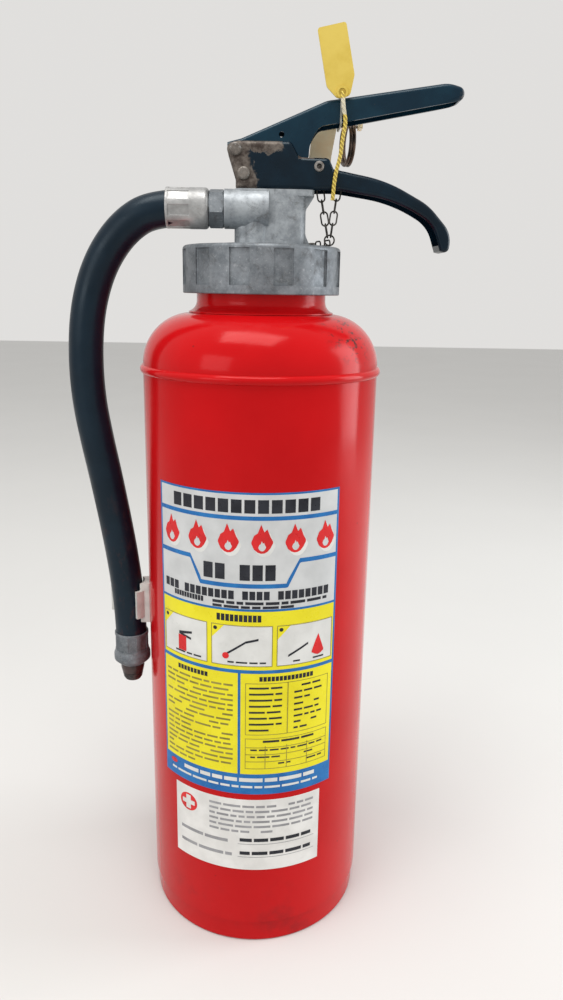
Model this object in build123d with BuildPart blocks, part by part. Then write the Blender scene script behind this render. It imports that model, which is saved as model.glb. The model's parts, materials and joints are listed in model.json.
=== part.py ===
"""Cartridge-operated dry powder fire extinguisher, 6 kg class.

Millimetres, +Z up. The origin is the centre of the foot on the floor. +X points
the way the lever and carrying handle reach, -Y is the labelled front, and the
discharge hose hangs on the -X side.
"""
import math
import os

from build123d import *

os.makedirs("parts", exist_ok=True)

# ---- driving dimensions ------------------------------------------------------
# steel cylinder
body_r = 77.0
wall = 1.5
foot_r = 75.4
side_bottom = 17.0
side_top = 389.0
knuckle_r = 33.0
knuckle_z = 394.5
bead_r = 79.0
neck_r = 41.7
neck_bore_r = 36.0
neck_top = 460.0

# screw cap and valve body
cap_r = 50.4
cap_bottom = 439.4
cap_top = 468.5
cap_web = 4.7
pocket_count = 12
stub_r = 30.6
body_top = 501.6
valve_x = 5.0            # plunger and cartridge axis
valve_half_depth = 17.0
boss_y = -11.0           # hose outlet axis
boss_z = 490.0
boss_r = 11.7
siphon_xy = (-14.0, -21.0)
gas_xy = (16.0, 22.0)

# bracket, lever and their rivets
bracket_half = 11.3
sheet = 2.0
lever_half = 9.0
lever_sheet = 1.8
pivot = (-16.6, 524.5)
lower_rivet = (-11.6, 510.9)
rivet_r = 2.5
run_fit = 0.05

# plunger
plunger_r = 3.0
plunger_travel = 6.36
plunger_tip = 471.2
head_z = 531.5
head_r = 4.5
collar_r = 5.6
spring_bottom = 506.0
spring_top = 530.0

# safety pin and its pull ring
pin_x, pin_z = 34.6, 515.6
pin_r = 3.0
tab_y = 12.2
tab_thick = 2.5
ring_bar_y = 24.0
ring_bar_z = 545.0
ring_turn = 9.0         # the ring's plane, away from the YZ plane

# hose, nozzle and clip
hose_r = 11.0
hose_bore_r = 6.0
hose_route = [
    (-44.0, -11.0, 490.0),
    (-66.0, -11.0, 490.0),
    (-85.0, -11.0, 479.0),
    (-100.5, -11.0, 458.0),
    (-109.5, -11.0, 432.0),
    (-113.0, -10.5, 403.0),
    (-112.5, -9.5, 372.0),
    (-108.5, -8.5, 345.0),
    (-103.0, -7.0, 314.0),
    (-98.0, -5.5, 282.0),
    (-94.5, -4.0, 255.0),
    (-92.0, -3.2, 228.0),
    (-91.0, -3.0, 204.0),
    (-91.0, -3.0, 184.0),
]
nozzle_xy = (-91.0, -3.0)

# retaining chain: its junction ring, and the screw that ties it to the cap
chain_ring_xyz = (43.2, 0.0, 473.4)
chain_ring_r = 3.1
chain_screw_xy = (33.83, 25.76)
chain_screw_r = 1.4
chain_screw_grip = 3.5

# pull-tight seal
tail_r = 1.2
tail_route = [
    (47.1, -12.4, 556.8),
    (47.5, -14.2, 553.2),
    (48.2, -14.4, 547.0),
    (49.8, -14.4, 540.0),
    (48.0, -14.4, 531.0),
    (47.2, -14.4, 521.0),
    (44.6, -14.4, 512.0),
    (43.6, -14.4, 503.0),
    (43.2, -14.4, 496.0),
]


# ---- helpers -----------------------------------------------------------------
def points(shape):
    """The corner points of an outline given as (x, y, corner radius) rows."""
    return [(x, y) for x, y, _ in shape]


def radii(shape):
    """The corner radii of the same outline."""
    return [r for _, _, r in shape]


def side_plane(y_far):
    """XZ plane at y_far; extruding from it runs back towards -Y."""
    return Plane.XZ.offset(-y_far)


def route_radii(route):
    """Bend radius at each inner point: as large as its two runs allow."""
    vectors = [Vector(*p) for p in route]
    bends = []
    for before, here, after in zip(vectors, vectors[1:], vectors[2:]):
        turn = math.radians((here - before).get_angle(after - here))
        shorter = min((here - before).length, (after - here).length)
        bends.append(0.45 * shorter / math.tan(turn / 2))
    return bends


def report_tube(name, route, part, section):
    """Print the radii of a cord and compare its volume with section x length."""
    bends = route_radii(route)
    print(name, "radii", [round(r) for r in bends])
    with BuildLine(mode=Mode.PRIVATE) as path:
        FilletPolyline(*route, radius=bends)
    length = path.wires()[0].length
    print(name, "length", round(length, 1),
          "volume / (section x length)", round(part.volume / (section * length), 4))


def upper_rim(part, half, line):
    """Edges on the side faces at y = +half and -half that lie above a line of (x, z)."""
    chosen = []
    for edge in part.edges():
        middle = edge.center()
        if abs(abs(middle.Y) - half) > 0.01:
            continue
        for (x0, z0), (x1, z1) in zip(line, line[1:]):
            share = (middle.X - x0) / (x1 - x0)
            if 0 <= share < 1 and middle.Z > z0 + (z1 - z0) * share:
                chosen.append(edge)
    return chosen


def finish(builder, name):
    builder.part.label = name
    export_step(builder.part, f"parts/{name}.step")


# ---- cylinder ----------------------------------------------------------------
with BuildPart() as cylinder_shell:
    with BuildSketch(Plane.XY.offset(side_bottom)):
        Circle(body_r)
        Circle(body_r - wall, mode=Mode.SUBTRACT)
    extrude(amount=side_top - side_bottom)
finish(cylinder_shell, "cylinder_shell")

# Pressed shoulder: a rolled bead, then a quarter-round knuckle up to the neck.
with BuildPart() as shoulder_dome:
    with BuildSketch(Plane.XZ):
        with BuildLine():
            Line((body_r - wall, side_top), (body_r, side_top))
            ThreePointArc((body_r, side_top), (bead_r, side_top + 2.8), (body_r, knuckle_z))
            CenterArc((body_r - knuckle_r, knuckle_z), knuckle_r, 0, 90)
            Line((body_r - knuckle_r, knuckle_z + knuckle_r),
                 (body_r - knuckle_r, knuckle_z + knuckle_r - wall))
            CenterArc((body_r - knuckle_r, knuckle_z), knuckle_r - wall, 0, 90)
            Line((body_r - wall, knuckle_z), (body_r - wall, side_top))
        make_face()
    revolve(axis=Axis.Z)
finish(shoulder_dome, "shoulder_dome")

# Base pressing: a skirt that is the foot, and a dish that closes the cylinder.
dish_rim_z = 26.0
dish_crown_z = 33.0
with BuildPart() as base_dish:
    with BuildSketch(Plane.XZ):
        with BuildLine():
            Polyline((8, dish_crown_z - wall), (0, dish_crown_z - wall), (0, dish_crown_z),
                     (8, dish_crown_z))
            ThreePointArc((8, dish_crown_z), (38, dish_crown_z - 2.0), (foot_r - 6, dish_rim_z))
            CenterArc((foot_r - 6, dish_rim_z - 6), 6, 0, 90)
            Line((foot_r, dish_rim_z - 6), (foot_r, 1.5))
            CenterArc((foot_r - 1.5, 1.5), 1.5, -90, 90)
            Polyline((foot_r - 1.5, 0), (foot_r - 4.5, 0), (foot_r - 4.5, wall),
                     (foot_r - wall, wall), (foot_r - wall, dish_rim_z - 6))
            CenterArc((foot_r - 6, dish_rim_z - 6), 6 - wall, 0, 90)
            ThreePointArc((foot_r - 6, dish_rim_z - wall), (38, dish_crown_z - 2.0 - wall),
                          (8, dish_crown_z - wall))
        make_face()
    revolve(axis=Axis.Z)
finish(base_dish, "base_dish")

# Neck collar set in the dome, with a flare that covers the joint.
dome_top = knuckle_z + knuckle_r
with BuildPart() as neck_ring:
    with BuildSketch(Plane.XZ):
        with BuildLine():
            Polyline((neck_bore_r, dome_top - 4.5), (body_r - knuckle_r - 0.05, dome_top - 4.5),
                     (body_r - knuckle_r - 0.05, dome_top + 0.05),
                     (neck_r + 5.1, dome_top + 0.05), (neck_r + 5.1, dome_top + 0.8))
            ThreePointArc((neck_r + 5.1, dome_top + 0.8), (neck_r + 1.7, dome_top + 3.0),
                          (neck_r, dome_top + 7.5))
            Polyline((neck_r, dome_top + 7.5), (neck_r, neck_top),
                     (neck_bore_r, neck_top), (neck_bore_r, dome_top - 4.5))
        make_face()
    revolve(axis=Axis.Z)
finish(neck_ring, "neck_ring")

# ---- screw cap, gasket and valve body ----------------------------------------
pocket_low = cap_bottom + 5.2
pocket_high = cap_top - 2.6
with BuildPart() as cap_ring:
    with BuildSketch(Plane.XY.offset(cap_bottom)):
        Circle(cap_r)
    extrude(amount=cap_top - cap_bottom)
    fillet(cap_ring.edges().group_by(Axis.Z)[-1], radius=2.4)
    fillet(cap_ring.edges().group_by(Axis.Z)[0], radius=0.8)
    with BuildSketch(Plane.XY.offset(pocket_low)):
        with PolarLocations(cap_r, pocket_count, start_angle=15):
            RectangleRounded(3.2, 12.4, 0.6)
    extrude(amount=pocket_high - pocket_low, mode=Mode.SUBTRACT)
    with BuildSketch(Plane.XY.offset(cap_bottom)):
        Circle(neck_r + 0.3)
    extrude(amount=cap_top - cap_web - cap_bottom, mode=Mode.SUBTRACT)
    with BuildSketch(Plane.XY.offset(cap_bottom)):
        Circle(stub_r + 0.4)
    extrude(amount=cap_top - cap_bottom, mode=Mode.SUBTRACT)
    with BuildSketch(Plane.XY.offset(cap_top - chain_screw_grip)):
        with Locations(chain_screw_xy):
            Circle(chain_screw_r + 0.03)
    extrude(amount=chain_screw_grip + 1, mode=Mode.SUBTRACT)
finish(cap_ring, "cap_ring")

gasket_thick = 1.5
with BuildPart() as neck_gasket:
    with BuildSketch(Plane.XY.offset(neck_top)):
        Circle(neck_r - 0.3)
        Circle(neck_bore_r + 0.2, mode=Mode.SUBTRACT)
    extrude(amount=gasket_thick)
finish(neck_gasket, "neck_gasket")

# Die-cast body: spigot and flange in the neck, a stub through the cap, a column
# with a lip on the lever side, a side boss for the hose and a tenon for the bracket.
flange_low = neck_top + gasket_thick
flange_high = cap_top - cap_web
spigot_low = 450.0
column_left, column_right = -17.0, 27.0
lip_x = 32.0
lip = 3.6
web_half = 12.0
chamber_top = 474.0
packing_low = 494.0
guide_r = 6.0
boss_left, boss_right = -23.2, 4.0
tenon_top = 514.6
with BuildPart() as valve_body:
    with BuildSketch(Plane.XY.offset(spigot_low)):
        Circle(neck_bore_r - 0.4)
    extrude(amount=flange_low - spigot_low)
    with BuildSketch(Plane.XY.offset(flange_low)):
        Circle(neck_r - 0.5)
    extrude(amount=flange_high - flange_low)
    with BuildSketch(Plane.XY.offset(flange_high)):
        Circle(stub_r)
    extrude(amount=cap_top + 1.2 - flange_high)
    for x_end, low, high, corner in ((column_right, cap_top, body_top - lip, 7.0),
                                     (lip_x, body_top - lip, body_top, 5.0)):
        with BuildSketch(Plane.XY.offset(low)):
            with Locations(((column_left + x_end) / 2, 0)):
                RectangleRounded(x_end - column_left, 2 * valve_half_depth, corner)
        extrude(amount=high - low)
    # webs that flare the column into the lip above and the stub below
    with BuildSketch(side_plane(web_half)):
        with BuildLine():
            FilletPolyline((column_left, cap_top), (column_left, body_top - lip),
                           (lip_x, body_top - lip), (column_right, body_top - lip - 7.5),
                           (column_right, cap_top + 7.0), (column_right + 3.4, cap_top),
                           radius=[0, 0, 0, 7.0, 9.0, 0], close=True)
        make_face()
    extrude(amount=2 * web_half)
    # hose outlet boss with a rounded inner end, and the riser that feeds it
    with BuildSketch(Plane.YZ.offset(boss_left)):
        with Locations((boss_y, boss_z)):
            Circle(boss_r)
    extrude(amount=boss_right - boss_left)
    with BuildSketch(Plane.XY.offset(cap_top)):
        with Locations((-4.0, boss_y)):
            Circle(8.6)
    extrude(amount=boss_z - cap_top)
    # tenon between the bracket's cheeks
    with BuildSketch(side_plane(bracket_half - sheet)):
        with BuildLine():
            FilletPolyline((-15.6, body_top), (-17.6, tenon_top), (-5.0, tenon_top),
                           (-2.5, body_top), radius=[0, 3.0, 3.0, 0], close=True)
        make_face()
    extrude(amount=2 * (bracket_half - sheet))
    with BuildSketch(side_plane(30)):
        with Locations(lower_rivet):
            Circle(rivet_r)
    extrude(amount=60, mode=Mode.SUBTRACT)
    # gas chamber, plunger bore and packing counterbore on the plunger axis
    for low, high, radius in ((spigot_low, 465.0, 8.0), (465.0, chamber_top, 6.0),
                              (chamber_top, packing_low, plunger_r + run_fit),
                              (packing_low, body_top, guide_r)):
        with BuildSketch(Plane.XY.offset(low)):
            with Locations((valve_x, 0)):
                Circle(radius)
        extrude(amount=high - low, mode=Mode.SUBTRACT)
    # outlet bore, the riser and its cross drilling, and sockets for the two tubes
    with BuildSketch(Plane.YZ.offset(boss_left)):
        with Locations((boss_y, boss_z)):
            Circle(7.5)
    extrude(amount=12.5, mode=Mode.SUBTRACT)
    riser_x = -4.0
    with BuildSketch(Plane.XY.offset(spigot_low + 3.0)):
        with Locations((riser_x, boss_y)):
            Circle(4.0)
    extrude(amount=boss_z - spigot_low - 4.0, mode=Mode.SUBTRACT)
    cross_z = spigot_low + 9.5
    cross_from = Vector(siphon_xy[0], siphon_xy[1], cross_z)
    cross_to = Vector(riser_x, boss_y, cross_z)
    with BuildSketch(Plane(origin=cross_from, z_dir=cross_to - cross_from)):
        Circle(3.4)
    extrude(amount=(cross_to - cross_from).length, mode=Mode.SUBTRACT)
    with BuildSketch(Plane.YZ.offset(boss_left)):
        with Locations((boss_y, boss_z)):
            Circle(4.6)
    extrude(amount=19.0, mode=Mode.SUBTRACT)
    for (x, y), radius in ((siphon_xy, 6.5), (gas_xy, 4.0)):
        with BuildSketch(Plane.XY.offset(spigot_low)):
            with Locations((x, y)):
                Circle(radius)
        extrude(amount=8, mode=Mode.SUBTRACT)
    with BuildSketch(Plane.XY.offset(spigot_low + 8.0)):
        with Locations(siphon_xy):
            Circle(5.2)
    extrude(amount=6.0, mode=Mode.SUBTRACT)
    # drilling from the gas chamber to the gas tube
    gas_top = Vector(gas_xy[0], gas_xy[1], spigot_low + 7)
    gas_side = Vector(valve_x, 0, 469)
    with BuildSketch(Plane(origin=gas_top, z_dir=gas_side - gas_top)):
        Circle(1.8)
    extrude(amount=(gas_side - gas_top).length, mode=Mode.SUBTRACT)
finish(valve_body, "valve_body")

# ---- plunger group -----------------------------------------------------------
with BuildPart() as plunger_guide:
    with BuildSketch(Plane.XY.offset(packing_low + 2.4)):
        with Locations((valve_x, 0)):
            Circle(guide_r)
    extrude(amount=body_top - packing_low - 2.4)
    with BuildSketch(Plane.XY.offset(body_top)):
        with Locations((valve_x, 0)):
            RegularPolygon(6.9, 6)
    extrude(amount=spring_bottom - body_top)
    with BuildSketch(Plane.XY.offset(packing_low)):
        with Locations((valve_x, 0)):
            Circle(plunger_r + run_fit)
    extrude(amount=spring_bottom - packing_low, mode=Mode.SUBTRACT)
finish(plunger_guide, "plunger_guide")

with BuildPart() as plunger_oring:
    with BuildSketch(Plane.XZ):
        with Locations((valve_x + 4.15, packing_low + 1.2)):
            Circle(1.05)
    revolve(axis=Axis((valve_x, 0, 0), (0, 0, 1)))
finish(plunger_oring, "plunger_oring")

# Rod with a spring collar and a domed head above, and a hollow cutting point below.
with BuildPart() as piercing_plunger:
    with BuildSketch(Plane.XZ):
        with BuildLine():
            Polyline((valve_x, plunger_tip + 3.0), (valve_x + 1.2, plunger_tip),
                     (valve_x + 2.2, plunger_tip + 4.0), (valve_x + plunger_r, plunger_tip + 5.5),
                     (valve_x + plunger_r, spring_top), (valve_x + collar_r, spring_top),
                     (valve_x + collar_r, head_z), (valve_x + head_r, head_z))
            CenterArc((valve_x, head_z), head_r, 0, 90)
            Line((valve_x, head_z + head_r), (valve_x, plunger_tip + 3.0))
        make_face()
    revolve(axis=Axis((valve_x, 0, 0), (0, 0, 1)))
finish(piercing_plunger, "piercing_plunger")

spring_wire_r = 0.55
spring_turns = 6
with BuildPart() as plunger_spring:
    with BuildLine(Plane.XY.offset(spring_bottom + spring_wire_r)) as coil:
        Helix(pitch=(spring_top - spring_bottom - 2 * spring_wire_r) / spring_turns,
              height=spring_top - spring_bottom - 2 * spring_wire_r, radius=4.4,
              center=(valve_x, 0, 0))
    with BuildSketch(Plane(origin=coil.line @ 0, z_dir=coil.line % 0)):
        Circle(spring_wire_r)
    sweep(is_frenet=True)
finish(plunger_spring, "plunger_spring")

# ---- gas cartridge and the tubes inside the cylinder --------------------------
cartridge_r = 17.0
cartridge_top = 464.0
cartridge_bottom = 252.0
collar_z = 448.5
with BuildPart() as gas_cartridge:
    with BuildSketch(Plane.XZ):
        with BuildLine():
            FilletPolyline((valve_x + 3, cartridge_top), (valve_x + 7.95, cartridge_top),
                           (valve_x + 7.95, collar_z), (valve_x + 11, collar_z),
                           (valve_x + 11, collar_z - 3.5), (valve_x + 8, collar_z - 3.5),
                           (valve_x + 8, collar_z - 7), (valve_x + cartridge_r, collar_z - 17),
                           (valve_x + cartridge_r, cartridge_bottom + 1),
                           (valve_x, cartridge_bottom - 2), (valve_x, cartridge_bottom + 1.5),
                           (valve_x + cartridge_r - 3, cartridge_bottom + 4.5),
                           (valve_x + cartridge_r - 3, collar_z - 19),
                           (valve_x + 3, collar_z - 10),
                           radius=[0, 0.5, 0, 0.5, 0.5, 0, 3, 9, 9, 0, 0, 6, 6, 2], close=True)
        make_face()
    revolve(axis=Axis((valve_x, 0, 0), (0, 0, 1)))
finish(gas_cartridge, "gas_cartridge")

with BuildPart() as cartridge_seal_disc:
    with BuildSketch(Plane.XY.offset(cartridge_top)):
        with Locations((valve_x, 0)):
            Circle(7.4)
    extrude(amount=0.4)
finish(cartridge_seal_disc, "cartridge_seal_disc")

with BuildPart() as cartridge_gasket:
    with BuildSketch(Plane.XY.offset(collar_z)):
        with Locations((valve_x, 0)):
            Circle(10.8)
            Circle(8.2, mode=Mode.SUBTRACT)
    extrude(amount=spigot_low - collar_z)
finish(cartridge_gasket, "cartridge_gasket")

siphon_path = [(*siphon_xy, spigot_low + 8), (*siphon_xy, 150.0), (-4.0, -6.0, 44.0)]
siphon_bend = 90.0
siphon_r = 6.45
with BuildPart() as siphon_tube:
    with BuildLine():
        FilletPolyline(*siphon_path, radius=siphon_bend)
    with BuildSketch(Plane.XY.offset(spigot_low + 8)):
        with Locations(siphon_xy):
            Circle(siphon_r)
            Circle(siphon_r - 1.2, mode=Mode.SUBTRACT)
    sweep()
finish(siphon_tube, "siphon_tube")

# Thin rubber cap that keeps powder out of the tube until gas pressure opens it.
siphon_foot = Vector(*siphon_path[2])
siphon_down = (siphon_foot - Vector(*siphon_path[1])).normalized()
with BuildPart() as siphon_cap:
    with BuildSketch(Plane(origin=siphon_foot - siphon_down * 6, z_dir=siphon_down)):
        Circle(siphon_r + 1.2)
    extrude(amount=7.2)
    with BuildSketch(Plane(origin=siphon_foot - siphon_down * 6, z_dir=siphon_down)):
        Circle(siphon_r + 0.02)
    extrude(amount=6, mode=Mode.SUBTRACT)
finish(siphon_cap, "siphon_cap")

gas_tube_r = 3.95
gas_tube_low = 70.0
with BuildPart() as gas_tube:
    with BuildSketch(Plane.XY.offset(gas_tube_low)):
        with Locations(gas_xy):
            Circle(gas_tube_r)
            Circle(gas_tube_r - 1.0, mode=Mode.SUBTRACT)
    extrude(amount=spigot_low + 7 - gas_tube_low)
finish(gas_tube, "gas_tube")

with BuildPart() as gas_tube_sleeve:
    with BuildSketch(Plane.XY.offset(gas_tube_low - 1.6)):
        with Locations(gas_xy):
            Circle(gas_tube_r + 1.5)
    extrude(amount=30)
    with BuildSketch(Plane.XY.offset(gas_tube_low)):
        with Locations(gas_xy):
            Circle(gas_tube_r + 0.02)
    extrude(amount=30, mode=Mode.SUBTRACT)
finish(gas_tube_sleeve, "gas_tube_sleeve")

powder_top = 384.0
with BuildPart() as powder_charge:
    with BuildSketch(Plane.XZ):
        with BuildLine():
            Polyline((0, dish_crown_z + 0.5), (38, dish_crown_z + 0.5),
                     (foot_r - 6, dish_rim_z + 1.8),
                     (body_r - wall - 0.5, dish_rim_z + 2.5), (body_r - wall - 0.5, powder_top),
                     (0, powder_top), (0, dish_crown_z + 0.5))
        make_face()
    revolve(axis=Axis.Z)
    with BuildSketch(Plane.XY.offset(cartridge_bottom - 3)):
        with Locations((valve_x, 0)):
            Circle(cartridge_r + 0.4)
    extrude(amount=powder_top - cartridge_bottom + 4, mode=Mode.SUBTRACT)
    with BuildSketch(Plane.XY.offset(gas_tube_low - 2)):
        with Locations(gas_xy):
            Circle(gas_tube_r + 1.9)
    extrude(amount=powder_top, mode=Mode.SUBTRACT)
    with BuildLine():
        FilletPolyline(*siphon_path[:2], siphon_foot + siphon_down * 1.6, radius=siphon_bend)
    with BuildSketch(Plane.XY.offset(spigot_low + 8)):
        with Locations(siphon_xy):
            Circle(siphon_r + 1.6)
    sweep(mode=Mode.SUBTRACT)
finish(powder_charge, "powder_charge")

# ---- carrying bracket, lever and rivets ---------------------------------------
# Two cheeks beside the tenon; past web_start a web joins them into the handle.
web_start = 46.0
handle_top = [(47.0, 514.0, 5.0), (77.0, 508.6, 90.0), (104.0, 494.8, 38.0),
              (119.8, 478.0, 16.0)]
bracket_shape = handle_top + [
    (118.0, 466.3, 3.0), (112.6, 467.6, 0), (107.0, 483.6, 22.0), (83.0, 496.8, 90.0),
    (46.0, 502.2, 60.0), (30.0, body_top, 20.0), (-16.6, body_top, 1.5), (-16.6, 507.5, 6.0),
    (-23.0, 527.5, 4.2), (-16.0, 529.6, 4.2), (17.4, 529.8, 3.4), (22.6, 520.9, 4.0),
    (40.8, 520.8, 3.2), (43.8, 514.6, 0)]
with BuildPart() as carry_bracket:
    with BuildSketch(side_plane(bracket_half)):
        with BuildLine():
            FilletPolyline(*points(bracket_shape), radius=radii(bracket_shape), close=True)
        make_face()
    extrude(amount=2 * bracket_half)
    handle_line = [(43.9, 512.5), (77.0, 506.0), (104.0, 491.0), (112.4, 465.6), (120.0, 465.6)]
    fillet(upper_rim(carry_bracket, bracket_half, handle_line), radius=3.0)
    with BuildSketch(side_plane(bracket_half - sheet)):
        Polygon((-30, 540), (web_start, 540), (web_start, 511.6), (77.0, 506.2), (103.2, 492.6),
                (116.8, 477.6), (115.6, 472.0), (110.8, 471.0), (109.0, 460), (-30, 460), align=None)
    extrude(amount=2 * (bracket_half - sheet), mode=Mode.SUBTRACT)
    for (x, z), radius in ((pivot, rivet_r), (lower_rivet, rivet_r),
                           ((pin_x, pin_z), pin_r + run_fit)):
        with BuildSketch(side_plane(30)):
            with Locations((x, z)):
                Circle(radius)
        extrude(amount=60, mode=Mode.SUBTRACT)
finish(carry_bracket, "carry_bracket")

lever_shape = [
    (-21.6, 528.9, 0), (-13.0, 531.2, 8.0), (38.6, 553.2, 16.0), (112.0, 564.6, 20.0),
    (123.4, 561.6, 4.2), (120.8, 555.6, 3.2), (117.0, 554.2, 0),
    (60.0, 543.2, 120.0), (34.6, 538.6, 7.0),
    (28.5, 529.6, 20.0), (28.2, 519.6, 2.6), (20.8, 519.4, 2.6), (17.0, 522.4, 3.0),
    (-6.0, 518.6, 10.0), (-16.6, 519.4, 4.0), (-21.4, 521.4, 3.4)]
lever_cavity = [
    (-30, 526.6), (-13.2, 529.0), (38.4, 551.1), (112.0, 562.4), (119.0, 560.6), (118.0, 550.0),
    (118.0, 500.0), (-30, 500.0)]
with BuildPart() as operating_lever:
    with BuildSketch(side_plane(lever_half)):
        with BuildLine():
            FilletPolyline(*points(lever_shape), radius=radii(lever_shape), close=True)
        make_face()
    extrude(amount=2 * lever_half)
    lever_line = [(-21.5, 524.5), (-13.2, 529.0), (38.4, 551.1), (112.0, 560.0), (118.0, 553.0),
                  (124.0, 553.0)]
    fillet(upper_rim(operating_lever, lever_half, lever_line), radius=2.6)
    with BuildSketch(side_plane(lever_half - lever_sheet)):
        Polygon(*lever_cavity, align=None)
    extrude(amount=2 * (lever_half - lever_sheet), mode=Mode.SUBTRACT)
    for (x, z), radius in ((pivot, rivet_r + run_fit), ((11.4, 533.5), 1.7)):
        with BuildSketch(side_plane(30)):
            with Locations((x, z)):
                Circle(radius)
        extrude(amount=60, mode=Mode.SUBTRACT)
finish(operating_lever, "operating_lever")

# The pivot rivet and the bracket's fixing rivet are the same domed rivet.
rivet_head_r = 3.9
rivet_head = 2.2
with BuildPart() as bracket_rivets:
    for x, z in (pivot, lower_rivet):
        with BuildSketch(side_plane(bracket_half)):
            with Locations((x, z)):
                Circle(rivet_r)
        extrude(amount=2 * bracket_half)
        with BuildSketch(side_plane(bracket_half + rivet_head)):
            with Locations((x, z)):
                Circle(rivet_head_r)
        extrude(amount=rivet_head)
        with BuildSketch(side_plane(-bracket_half)):
            with Locations((x, z)):
                Circle(rivet_head_r)
        extrude(amount=rivet_head)
    fillet(bracket_rivets.edges().group_by(Axis.Y)[0], radius=1.5)
    fillet(bracket_rivets.edges().group_by(Axis.Y)[-1], radius=1.5)
finish(bracket_rivets, "bracket_rivets")

# ---- hose, its end fittings and the nozzle -------------------------------------
hose_start = Vector(*hose_route[0])
with BuildPart() as hose:
    with BuildLine():
        FilletPolyline(*hose_route, radius=route_radii(hose_route))
    with BuildSketch(Plane.YZ.offset(hose_start.X)):
        with Locations((boss_y, boss_z)):
            Circle(hose_r)
            Circle(hose_bore_r, mode=Mode.SUBTRACT)
    sweep()
finish(hose, "hose")
report_tube("hose", hose_route, hose.part, math.pi * (hose_r ** 2 - hose_bore_r ** 2))

# Hex nipple: a threaded shank in the boss, a hexagon, and a barbed tail in the hose.
hose_axis = Axis((0, boss_y, boss_z), (1, 0, 0))
hex_left = -32.5
hex_right = boss_left - 0.2
barb_end = -56.0
with BuildPart() as hose_nipple:
    with BuildSketch(Plane.YZ.offset(hex_left)):
        with Locations((boss_y, boss_z)):
            RegularPolygon(12.2, 6, rotation=14)
    extrude(amount=hex_right - hex_left)
    with BuildSketch(Plane.XY.offset(boss_z)):
        Polygon((hex_left, boss_y), (hex_left, boss_y + 10.6), (hex_left + 0.9, boss_y + 12.2),
                (hex_right - 0.9, boss_y + 12.2), (hex_right, boss_y + 10.6), (hex_right, boss_y),
                align=None)
    revolve(axis=hose_axis, mode=Mode.INTERSECT)
    for left, right, radius in ((hex_right, boss_left + 12.0, 7.45),
                                (-44.0, hex_left, 6.1), (barb_end, -44.0, 5.3)):
        with BuildSketch(Plane.YZ.offset(left)):
            with Locations((boss_y, boss_z)):
                Circle(radius)
        extrude(amount=right - left)
    for step in range(3):
        with BuildSketch(Plane.YZ.offset(barb_end + 4 * step)):
            with Locations((boss_y, boss_z)):
                Circle(5.3)
        with BuildSketch(Plane.YZ.offset(barb_end + 4 * step + 3)):
            with Locations((boss_y, boss_z)):
                Circle(5.95)
        loft()
    with BuildSketch(Plane.YZ.offset(barb_end)):
        with Locations((boss_y, boss_z)):
            Circle(4.3)
    extrude(amount=boss_left + 12.0 - barb_end, mode=Mode.SUBTRACT)
finish(hose_nipple, "hose_nipple")

ferrule_mouth = -59.0
ferrule_step = -44.0
ferrule_grooves = 8
with BuildPart() as hose_ferrule_top:
    with BuildSketch(Plane.YZ.offset(ferrule_mouth)):
        with Locations((boss_y, boss_z)):
            Circle(12.2)
    extrude(amount=hex_left - 0.1 - ferrule_mouth)
    fillet(hose_ferrule_top.edges().group_by(Axis.X)[-1], radius=2.6)
    fillet(hose_ferrule_top.edges().group_by(Axis.X)[0], radius=0.5)
    with BuildSketch(Plane.YZ.offset(ferrule_mouth + 1.6)):
        with Locations((boss_y, boss_z)):
            with PolarLocations(12.05, ferrule_grooves, start_angle=10):
                RectangleRounded(1.5, 6.4, 0.4)
    extrude(amount=13.0, mode=Mode.SUBTRACT)
    with BuildSketch(Plane.YZ.offset(ferrule_mouth)):
        with Locations((boss_y, boss_z)):
            Circle(hose_r)
    extrude(amount=ferrule_step - ferrule_mouth, mode=Mode.SUBTRACT)
    with BuildSketch(Plane.YZ.offset(ferrule_mouth)):
        with Locations((boss_y, boss_z)):
            Circle(6.1)
    extrude(amount=40, mode=Mode.SUBTRACT)
finish(hose_ferrule_top, "hose_ferrule_top")

hose_end = hose_route[-1][2]
low_ferrule_top = 203.5
low_ferrule_base = 178.5
nozzle_axis = Axis((*nozzle_xy, 0), (0, 0, 1))
nozzle_plane = Plane(origin=(*nozzle_xy, 0), x_dir=(1, 0, 0), z_dir=(0, -1, 0))
with BuildPart() as hose_ferrule_bottom:
    with BuildSketch(nozzle_plane):
        with BuildLine():
            FilletPolyline((hose_r, low_ferrule_top), (11.9, low_ferrule_top), (11.9, 189.5),
                           (12.9, 187.0), (12.9, 182.5), (8.6, low_ferrule_base),
                           (6.1, low_ferrule_base), (6.1, hose_end), (hose_r, hose_end),
                           radius=[0, 0.4, 1.5, 1.8, 1.8, 0.6, 0, 0, 0], close=True)
        make_face()
    revolve(axis=nozzle_axis)
    with BuildSketch(Plane.XY.offset(190.5)):
        with Locations(nozzle_xy):
            with PolarLocations(12.0, ferrule_grooves, start_angle=10):
                RectangleRounded(1.5, 6.2, 0.4)
    extrude(amount=11.0, mode=Mode.SUBTRACT)
finish(hose_ferrule_bottom, "hose_ferrule_bottom")

nozzle_mouth = 171.6
with BuildPart() as nozzle:
    with BuildSketch(nozzle_plane):
        with BuildLine():
            FilletPolyline((4.2, 200.0), (5.5, 200.0), (5.95, 194.0), (5.3, 193.8), (5.95, 187.0),
                           (6.05, low_ferrule_base), (8.5, low_ferrule_base), (8.3, 175.6),
                           (7.4, nozzle_mouth), (4.2, nozzle_mouth),
                           radius=[0, 0.3, 0, 0, 0.3, 0, 0.6, 0.6, 0.6, 0], close=True)
        make_face()
    revolve(axis=nozzle_axis)
finish(nozzle, "nozzle")

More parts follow.
